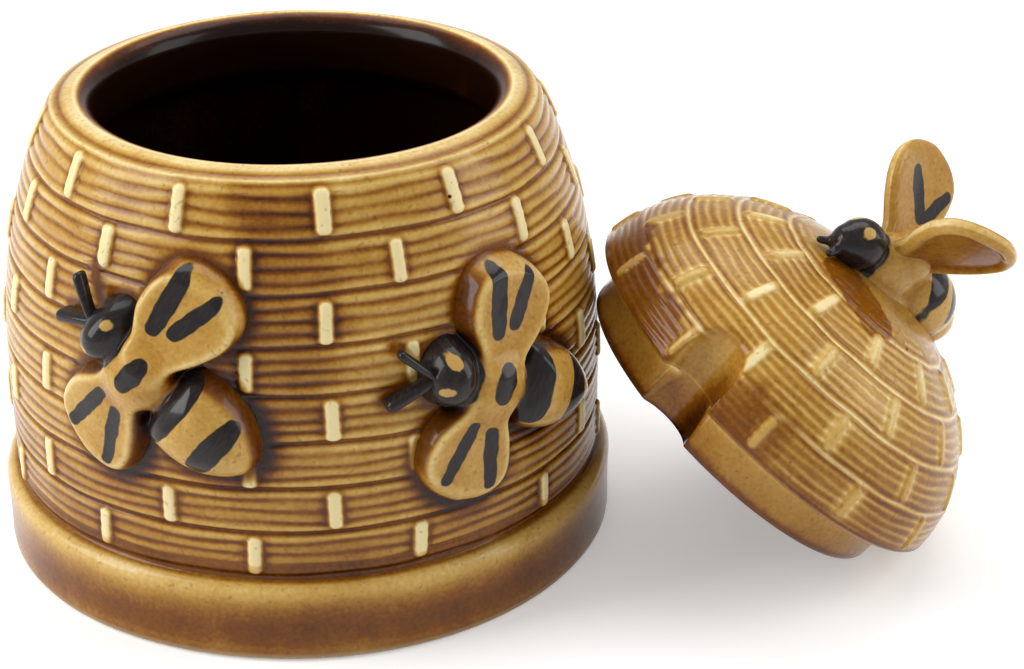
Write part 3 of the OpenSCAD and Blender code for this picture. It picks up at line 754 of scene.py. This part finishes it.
def buildWallBee(node, bee):
    s = beeShape
    xs = np.arange(-20.5, 24.01, s["step"])
    ys = np.arange(-21.5, 21.51, s["step"])
    x, y = np.meshgrid(xs, ys, indexing="ij")
    up = beeHeight(x, y)
    keep = (up[:-1, :-1] > -s["skirt"]) & (up[1:, 1:] > -s["skirt"]) & (up[1:, :-1] > -s["skirt"]) & (up[:-1, 1:] > -s["skirt"])
    used, faces = reliefFaces(keep)
    fx, fy, fz = x[used], y[used], up[used]
    name, beeTurn, beeZ, droop = bee
    c, sn = math.cos(math.radians(droop)), math.sin(math.radians(droop))

    def onWall(a, b, proud):
        height = beeZ - a * sn + b * c
        turn = math.radians(beeTurn) + (a * c + b * sn) / potShape["bellyRadius"]
        radius = wallRadius(height) + proud
        return np.stack([radius * np.cos(turn), radius * np.sin(turn), height], 1)

    n = len(fx)
    front = faces[:keep.sum()]
    edges = edgesOf(front, np.zeros((0, 3), int))
    count = np.bincount(edges.ravel(), minlength=n)
    shape = np.stack([fx, fy, fz], 1)
    for _ in range(s["relax"]):    # lets the steep sides run smooth across the grid
        for axis in range(3):
            total = np.bincount(edges[:, 0], shape[edges[:, 1], axis], n) + np.bincount(edges[:, 1], shape[edges[:, 0], axis], n)
            shape[:, axis] = 0.5 * shape[:, axis] + 0.5 * total / count
    fx, fy, fz = shape.T
    flankShade = 1 - smoothStep(0.35, 0.80, normalsOf(shape, front, np.zeros((0, 3), int))[:, 2])
    points = np.concatenate([onWall(fx, fy, fz), onWall(fx, fy, np.full(n, s["back"]))])
    flat = np.concatenate([np.stack([fx, fy, fz], 1), np.stack([fx, fy, np.full(n, s["back"])], 1)])
    tris = np.zeros((0, 3), int)
    hollow = hollowness(points, faces, tris, 40)
    # darker low on the relief is pooled glaze; darkening the steep sides is painted shade
    flankShade = flankShade * (1 - smoothStep(3.0, 4.6, fz)) * (1 - 0.75 * smoothStep(13.5, 17.5, np.abs(fy)))
    poolAndShade = np.concatenate([np.maximum(1.1 * (1 - smoothStep(0.2, 1.6, fz)), 1.2 * flankShade), np.ones(n)])
    for antenna in s["antennae"]:
        rod = antennaRod(*antenna)
        rodQuads, rodTris = revolveFaces(s["rodRings"], s["rodSpokes"])
        faces, tris = np.concatenate([faces, rodQuads + len(points)]), np.concatenate([tris, rodTris + len(points)])
        points, flat = np.concatenate([points, onWall(*rod.T)]), np.concatenate([flat, rod])
    plain = np.zeros(len(points) - 2 * n)
    # the antenna rods are darkened all over: painted shade where the black paint leaves them bare
    marks = {"hollow": np.concatenate([np.clip(hollow, -0.24, 0.3), plain]), "poolAndShade": np.concatenate([poolAndShade, plain + 1.1]),
             "thin": np.zeros(len(points)), "beePlace": flat, "paintSide": np.ones(len(points))}
    obj = writeMesh(name, points, faces, tris, marks, beeGlazes[node in ("wall_bee_front_right", "wall_bee_back_left")])
    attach(obj, "pot")
    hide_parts(node)


for node, bee in wallBees.items():
    buildWallBee(node, bee)
print("wall bees made")


# ---- the lid, in its own frame: rim level on z = 0, downhill side towards +X

lidShape = {
    "domeRadius": 35.6, "domeHeight": 26.6, "flangeRadius": 30.2, "flangeHeight": 7.8,
    "wall": 4.4, "coilStart": 1.7, "coilEnd": 62.0, "rows": 4, "firstStitch": 12.0,
    "notchWidth": 10.0, "notchHeight": 11.0, "notchWall": 3.5, "notchLean": 20.0, "notchTurn": -129.0,
    "notchSoft": 0.9, "turnSteps": 700, "notchSteps": 130,
    "drip": ((-8.5, -8.5), (-2.5, -15.0), 3.4),
}
lidLean = {"place": (74.889, -9.0, 25.515), "tilt": 41.7, "turn": 2.4}
leanMatrix = (Matrix.Translation(lidLean["place"]) @ Matrix.Rotation(math.radians(lidLean["turn"]), 4, "Z")
              @ Matrix.Rotation(math.radians(lidLean["tilt"]), 4, "Y"))


def transformed(points, matrix):
    m = np.array(matrix)
    return points @ m[:3, :3].T + m[:3, 3]


def domeAt(h):
    s = lidShape
    return s["domeRadius"] * np.sqrt(np.maximum(0, 1 - (np.asarray(h, float) / s["domeHeight"]) ** 2))


def notchFloor(side, h, radius):
    # how far out the channel's floor stands, at a height and a distance to the side of its middle line
    s = lidShape
    lean = math.radians(s["notchLean"])
    half = s["notchWidth"] / 2
    outAt = domeAt(s["notchHeight"]) + half * math.cos(lean)
    upAt = s["notchHeight"] - half * math.sin(lean)
    reach = np.minimum(np.abs(side), radius)
    depth = -np.sqrt(radius * radius - reach * reach) + 5.0 * np.maximum(0, np.abs(side) - radius + 0.25) ** 1.15
    return outAt + (depth + (h - upAt) * math.sin(lean)) / math.cos(lean)


def blendDown(a, b, soft):
    return 0.5 * (a + b - np.sqrt((a - b) ** 2 + soft * soft))


def buildLid():
    s = lidShape
    rise = np.radians(np.linspace(90, s["coilStart"], 380))
    dome = np.stack([s["domeRadius"] * np.cos(rise), s["domeHeight"] * np.sin(rise)], 1)
    dome = resample(dome[dome[:, 0] > 1.0], 0.24)
    rim = [(s["domeRadius"] - 0.45, 0.15), (34.3, 0.0), (31.0, 0.05), (s["flangeRadius"] + 0.1, -0.3)]
    flange = [(s["flangeRadius"], -1.0), (s["flangeRadius"], -s["flangeHeight"] + 0.9),
              (s["flangeRadius"] - 0.25, -s["flangeHeight"] + 0.25), (s["flangeRadius"] - 0.9, -s["flangeHeight"])]
    hollowRadius, hollowHeight = s["flangeRadius"] - s["wall"], s["domeHeight"] - s["wall"]
    lower = [(hollowRadius + 0.7, -s["flangeHeight"]), (hollowRadius + 0.1, -s["flangeHeight"] + 0.7)]
    riseIn = np.radians(np.linspace(0, 88, 60))
    hollow = np.stack([hollowRadius * np.cos(riseIn), hollowHeight * np.sin(riseIn)], 1)
    pieces = [dome, resample([tuple(dome[-1])] + rim + flange, 0.3)[1:], resample([flange[-1]] + lower, 0.4)[1:],
              resample([lower[-1], (hollowRadius, 0)], 0.6)[1:], resample(hollow, 0.9)[1:]]
    zone = np.concatenate([np.full(len(p), i) for i, p in enumerate(pieces)])
    profile = np.concatenate(pieces)
    notchTurn = math.radians(s["notchTurn"])
    turns = np.concatenate([np.linspace(-np.pi, np.pi, s["turnSteps"], endpoint=False),
                            notchTurn + np.radians(np.linspace(-13, 13, s["notchSteps"]))])
    turns = np.unique(np.round(turns, 5))
    turn, radius = np.meshgrid(turns, profile[:, 0])
    height = np.repeat(profile[:, 1:2], len(turns), 1)
    zoneGrid = np.repeat(zone[:, None], len(turns), 1)
    angle = np.degrees(np.arctan2(height / s["domeHeight"], np.maximum(radius, 1e-6) / s["domeRadius"]))
    rowTurn = (s["coilEnd"] - s["coilStart"]) / s["rows"]
    place = (angle - s["coilStart"]) / rowTurn
    relief, stitchMask = coilRelief(turn, np.clip(place, 0, s["rows"] + 0.6), radius, s["firstStitch"], lidCoil)
    onCoil = (zoneGrid == 0)
    noMore = smoothStep(s["rows"] - 0.05, s["rows"], place)
    relief, stitchMask = np.where(noMore > 0, np.minimum(relief, 0), relief), stitchMask * (1 - noMore)
    fade = smoothStep(0.0, 0.12, place) * smoothStep(0.0, 0.25, s["rows"] + 0.5 - place)
    relief = np.where(onCoil, relief * fade, 0)
    stitchMask = np.where(onCoil, stitchMask * fade, 0)
    slope = np.radians(angle)
    radiusOut = radius + relief * np.cos(slope)
    heightOut = height + relief * np.sin(slope)
    away = (turn - notchTurn + np.pi) % (2 * np.pi) - np.pi
    ahead = np.cos(away) > 0.5
    forward, side = radiusOut * np.cos(away), radiusOut * np.sin(away)
    cut = notchFloor(side, heightOut, s["notchWidth"] / 2)
    backing = notchFloor(side, heightOut, s["notchWidth"] / 2 + s["notchWall"])
    inward = np.where(zoneGrid < 2, 0.0, 1.0)
    under = zoneGrid == 2
    inward = np.where(under, np.clip((s["flangeRadius"] - 0.9 - radius) / (s["wall"] - 1.0), 0, 1), inward)
    wall = cut * (1 - inward) + backing * inward
    limit = np.where(ahead & (np.abs(side) < 11.5), wall, 1e3)
    moved = blendDown(forward, limit, s["notchSoft"] * (1 - 0.5 * inward))
    moved = np.where(limit < 999, moved, forward)
    carved = np.where(ahead, np.clip(forward - moved, 0, None), 0)
    x = moved * math.cos(notchTurn) - side * math.sin(notchTurn)
    y = moved * math.sin(notchTurn) + side * math.cos(notchTurn)
    points = np.stack([x, y, heightOut], -1).reshape(-1, 3)
    points = np.concatenate([points, [[0, 0, s["domeHeight"] - 0.1], [0, 0, hollowHeight]]])
    quads, tris = revolveFaces(len(profile), len(turns))
    hollowMark = hollowness(points, quads, tris, 26)
    inNotch = smoothStep(0.3, 1.2, carved)
    stitchMask = stitchMask * (1 - inNotch)
    uphill = smoothStep(-5, 10, side)
    # glaze pools in the channel; its darker side is part pooled glaze, part painted shade
    poolAndShade = inNotch * (0.12 + 0.75 * smoothStep(-1.0, 3.0, side) * smoothStep(16, 3, heightOut + 4) + 0.3 * smoothStep(4, -6, heightOut))
    ragged = 0.8 * wave(turn, 23, 1.0) + 0.5 * wave(turn, 61, 2.0)
    rimCamera = np.exp(-((away + math.radians(35)) / math.radians(27)) ** 6) * smoothStep(
        1.0, 0.0, (heightOut + ragged - 5.0 + 3.5 * np.degrees(away) / 60) / 1.5)
    rimRight = np.exp(-((away - math.radians(17)) / math.radians(11)) ** 4) * smoothStep(10.5, 6.5, heightOut + ragged)
    dripFrom, dripTo = np.array(s["drip"][0]), np.array(s["drip"][1])
    run = dripTo - dripFrom
    share = np.clip(((x - dripFrom[0]) * run[0] + (y - dripFrom[1]) * run[1]) / (run @ run), 0, 1)
    gap = np.hypot(x - dripFrom[0] - share * run[0], y - dripFrom[1] - share * run[1])
    underKnob = (1 - smoothStep(0.0, 0.5, gap - s["drip"][2] + 0.5 * ragged * 0.4)) * (heightOut > 5)
    # darker low down on one side of the lid, near the rim
    lowSide = np.exp(-((away - math.radians(70)) / math.radians(50)) ** 4) * smoothStep(20, 3, heightOut)
    amber = np.maximum.reduce([rimCamera, rimRight, underKnob]) * (1 - inNotch) * onCoil
    poolAndShade = np.maximum.reduce([poolAndShade, (0.58 - 0.08 * underKnob) * amber, 0.22 * lowSide * (1 - inNotch) * onCoil])
    flangePool = smoothStep(0, -7, heightOut) * (zoneGrid == 1) * 0.25
    poolAndShade = np.maximum(poolAndShade, flangePool)
    thin = np.maximum(stitchMask, 0.35 * np.exp(-((height - 0.2) / 0.35) ** 2) * (zoneGrid <= 1) * (radius > 34))
    inside = (zoneGrid >= 3) * 0.45
    ends = lambda grid, first, last: np.concatenate([grid.reshape(-1), [first, last]])
    hollowMark = np.clip(hollowMark, -0.2, 0.13)
    hollowMark[:turn.size] *= 1 - 0.8 * amber.ravel()
    marks = {"hollow": hollowMark, "poolAndShade": ends(poolAndShade, 0, 0), "thin": ends(thin, 0, 0),
             "bareClay": ends(np.zeros(turn.shape), 0, 0), "insideWare": ends(inside, 0, 0.45)}
    points = transformed(points, leanMatrix)
    obj = writeMesh("LidBody", points, quads, tris, marks, lidGlaze)
    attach(obj, "lid")
    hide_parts("lid_shell")
    print("lid", len(points), "points")
    return obj


lid = buildLid()


# ---- the knob bee, tail towards +X in its own frame

knobShape = {
    "turn": 22.0, "droop": 4.0, "up": 1.3,
    "balls": [((-8.6, 0, 0.6), (4.2, 4.2, 4.2)), ((-10.2, 0, -0.4), (3.4, 3.3, 3.2)),
              ((-1.2, 0, 0.4), (6.2, 5.6, 5.8)), ((0.4, 0, 3.6), (4.4, 5.2, 4.2)),
              ((8.8, 0, -0.4), (7.8, 6.8, 6.5)), ((13.4, 0, -1.4), (5.4, 5.2, 4.8)), ((0.5, 0, -3.5), (8.0, 6.2, 5.0))],
    "feelers": [((-12.0, 0.8, -2.0), (-13.5, 1.8, -3.3), 0.75), ((-12.0, -0.8, -2.0), (-13.5, -1.8, -3.3), 0.75)],
    "voxel": 0.32, "smoothing": 14,
    "wing": [(-3.0, -3.4, 3.4), (1.5, -4.6, 4.8), (5.0, -6.6, 6.6), (9.0, -8.0, 8.0), (13.0, -7.4, 8.0),
             (16.0, -4.6, 5.8), (17.6, -0.8, 2.2)],
    "wingMiddle": (0.2, 8.0), "wingRings": 30, "wingSpokes": 240,
    "wingRootOut": 2.0, "wingRootUp": 4.3, "wingRise": 50.0, "wingThick": 1.6, "wingDish": 1.0,
    "wingForward": 1.0,
}
knobMatrix = (leanMatrix @ Matrix.Translation((0, 0, lidShape["domeHeight"]))
              @ Matrix.Rotation(math.radians(knobShape["turn"]), 4, "Z")
              @ Matrix.Rotation(math.radians(knobShape["droop"]), 4, "Y")
              @ Matrix.Translation((0, 0, knobShape["up"])))


def buildKnobBody():
    s = knobShape
    bm = bmesh.new()
    for middle, radii in s["balls"]:
        bmesh.ops.create_icosphere(bm, subdivisions=4, radius=1,
                                   matrix=Matrix.Translation(middle) @ Matrix.Diagonal((*radii, 1)))
    for start, end, radius in s["feelers"]:
        for t in np.linspace(0, 1, 9):
            bmesh.ops.create_icosphere(bm, subdivisions=3, radius=radius,
                                       matrix=Matrix.Translation(Vector(start).lerp(Vector(end), t)))
    mesh = bpy.data.meshes.new("knobClay")
    bm.to_mesh(mesh)
    bm.free()
    clay = bpy.data.objects.new("knobClay", mesh)
    scene.collection.objects.link(clay)
    remesh = clay.modifiers.new("remesh", "REMESH")
    remesh.mode, remesh.voxel_size = "VOXEL", s["voxel"]
    soft = clay.modifiers.new("soft", "SMOOTH")
    soft.factor, soft.iterations = 0.5, s["smoothing"]
    result = clay.evaluated_get(bpy.context.evaluated_depsgraph_get()).to_mesh()
    points = np.zeros(len(result.vertices) * 3)
    result.vertices.foreach_get("co", points)
    points = points.reshape(-1, 3)
    quads = np.array([p.vertices[:] for p in result.polygons if len(p.vertices) == 4], int).reshape(-1, 4)
    tris = np.array([p.vertices[:] for p in result.polygons if len(p.vertices) == 3], int).reshape(-1, 3)
    clay.evaluated_get(bpy.context.evaluated_depsgraph_get()).to_mesh_clear()
    bpy.data.objects.remove(clay)
    hollow = hollowness(points, quads, tris, 30)
    flat = points.copy()
    marks = {"hollow": np.clip(hollow, -0.5, 0.5), "poolAndShade": np.zeros(len(points)), "thin": np.zeros(len(points)),
             "beePlace": flat, "paintSide": (points[:, 2] > -5).astype(float)}
    obj = writeMesh("KnobBody", transformed(points, knobMatrix), quads, tris, marks, knobGlaze)
    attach(obj, "lid")
    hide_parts("knob_bee_body")


def buildKnobWing(name, node, side):
    s = knobShape
    outline = closedCurve([(front, out) for out, front, rear in s["wing"]]
                          + [(rear, out) for out, front, rear in reversed(s["wing"])])
    loop = resample(np.concatenate([outline, outline[:1]]), 0.05)
    pick = np.linspace(0, len(loop) - 1, s["wingSpokes"], endpoint=False).astype(int)
    loop, middle = loop[pick], np.array(s["wingMiddle"])
    share = 1 - (1 - np.linspace(0.04, 1, s["wingRings"])) ** 1.7
    flat = middle + share[:, None, None] * (loop - middle)
    gap = outlineGap(loop, flat[..., 0], flat[..., 1])
    gap[-1] = 0
    rounded = s["wingThick"] * np.sqrt(1 - np.exp(-2.2 * np.maximum(-gap, 0) / s["wingThick"]))
    dish = s["wingDish"] * smoothStep(0.9, 2.8, -gap) * smoothStep(-1.0, 3.5, flat[..., 1])
    above, below = rounded * 0.85, dish - rounded
    sheet = np.concatenate([flat, flat[-2::-1]])
    height = np.concatenate([above, below[-2::-1]])
    rise = math.radians(s["wingRise"])
    out, lift = np.array([0, side * math.cos(rise), math.sin(rise)]), np.array([0, -side * math.sin(rise), math.cos(rise)])
    root = np.array([-s["wingForward"], side * s["wingRootOut"], s["wingRootUp"]])
    curl = 0.012 * (flat[..., 0] ** 2)
    height += np.concatenate([curl, curl[-2::-1]])

    def place(a, b, up):
        return root + a[..., None] * np.array([1, 0, 0]) + b[..., None] * out + up[..., None] * lift

    points = place(sheet[..., 0], sheet[..., 1], height).reshape(-1, 3)
    poles = place(middle[:1], middle[1:], np.array([s["wingThick"] * 0.85])), \
        place(middle[:1], middle[1:], np.array([s["wingDish"] - s["wingThick"]]))
    points = np.concatenate([points, *poles])
    quads, tris = revolveFaces(len(sheet), s["wingSpokes"])
    if side < 0:
        quads, tris = quads[:, ::-1], tris[:, ::-1]
    hollow = hollowness(points, quads, tris, 12)
    n = s["wingSpokes"] * s["wingRings"]
    topSide = np.concatenate([np.ones(n), np.zeros(len(points) - n)])
    topSide[-2] = 1
    marked = np.concatenate([np.stack([sheet[..., 0], side * sheet[..., 1], height], -1).reshape(-1, 3),
                             [[*middle, 0]] * 2])
    poolAndShade = np.concatenate([np.zeros(n), 0.4 * smoothStep(0.8, 2.2, -gap[-2::-1]).ravel(), [0, 0.4]])
    thin = np.concatenate([np.zeros(n - 2 * s["wingSpokes"]), np.full(4 * s["wingSpokes"], 0.4)])
    thin = np.concatenate([thin, np.zeros(len(points) - len(thin))])
    marks = {"hollow": np.clip(hollow, -0.5, 0.5), "poolAndShade": poolAndShade, "thin": thin,
             "beePlace": marked, "paintSide": topSide}
    obj = writeMesh(name, transformed(points, knobMatrix), quads, tris, marks, raisedWingGlaze)
    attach(obj, "lid")
    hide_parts(node)


buildKnobBody()
buildKnobWing("KnobWingNear", "knob_wing_near", -1)
buildKnobWing("KnobWingFar", "knob_wing_far", 1)
print("knob made")


# ---- floor, backdrop and lamps

studio = {
    "floorColor": 0.86, "floorLift": 0.33, "worldStrength": 0.50, "radius": 3.0, "rimHeight": 0.7,
    "lamps": [("leftBox", (-0.45, -0.12, 0.34), (0.0, 0.0, 0.04), (0.3, 0.45), 2.2),
              ("rightBox", (0.55, -0.05, 0.30), (0.03, 0.0, 0.04), (0.3, 0.45), 1.2),
              ("topBox", (0.06, 0.25, 0.60), (0.03, 0.0, 0.03), (0.6, 0.35), 1.6)],
}


def whiteRays(tree):
    path = addNode(tree, "ShaderNodeLightPath").outputs
    either = maths(tree, "ADD", path["Is Camera Ray"], path["Is Glossy Ray"], clamp=True)
    return maths(tree, "ADD", either, path["Is Transmission Ray"], clamp=True)


def makeStudio(spec):
    # a round sheet of paper that turns up at its edge
    curve = [(spec["radius"] * k, 0.0) for k in (0.02, 0.1, 0.3, 0.6, 0.8)]
    curve += [(spec["radius"] * (0.8 + 0.2 * math.sin(a)), spec["rimHeight"] * (1 - math.cos(a)))
              for a in np.linspace(0.2, math.pi / 2, 8)]
    turns = np.linspace(0, 2 * math.pi, 96, endpoint=False)
    verts = [(r * math.cos(a), r * math.sin(a), z - 0.00006) for r, z in curve for a in turns] + [(0, 0, -0.00006)]
    n = len(turns)
    faces = [(i * n + j, (i + 1) * n + j, (i + 1) * n + (j + 1) % n, i * n + (j + 1) % n)
             for i in range(len(curve) - 1) for j in range(n)]
    faces += [(len(verts) - 1, j, (j + 1) % n) for j in range(n)]
    mesh = bpy.data.meshes.new("studioPaper")
    mesh.from_pydata(verts, [], faces)
    floor = bpy.data.objects.new("studioFloor", mesh)
    scene.collection.objects.link(floor)
    material = bpy.data.materials.new("studioPaper")
    material.use_nodes = True
    tree = material.node_tree
    tree.nodes.clear()
    white = (spec["floorColor"],) * 3 + (1,)
    diffuse = addNode(tree, "ShaderNodeBsdfDiffuse", {"Color": white})
    seen = whiteRays(tree)
    lift = addNode(tree, "ShaderNodeEmission", {"Color": (1, 1, 1, 1), "Strength": maths(tree, "MULTIPLY", seen, spec["floorLift"])})
    both = addNode(tree, "ShaderNodeAddShader", {0: diffuse.outputs[0], 1: lift.outputs[0]})
    out = addNode(tree, "ShaderNodeOutputMaterial", {"Surface": both.outputs[0]})
    floor.data.materials.append(material)
    world = bpy.data.worlds.new("studioAir")
    scene.world = world
    world.use_nodes = True
    tree = world.node_tree
    background = tree.nodes["Background"]
    background.inputs["Color"].default_value = (1, 1, 1, 1)
    background.inputs["Strength"].default_value = spec["worldStrength"]
    for name, place, aim, size, power in spec["lamps"]:
        data = bpy.data.lights.new(name, "AREA")
        data.shape, data.size, data.size_y = "RECTANGLE", *size
        data.energy = power
        obj = bpy.data.objects.new(name, data)
        scene.collection.objects.link(obj)
        obj.location = place
        obj.rotation_euler = (Vector(aim) - Vector(place)).to_track_quat("-Z", "Y").to_euler()


makeCamera(camera)
makeStudio(studio)
scene.view_settings.view_transform = "Standard"
print("studio made")
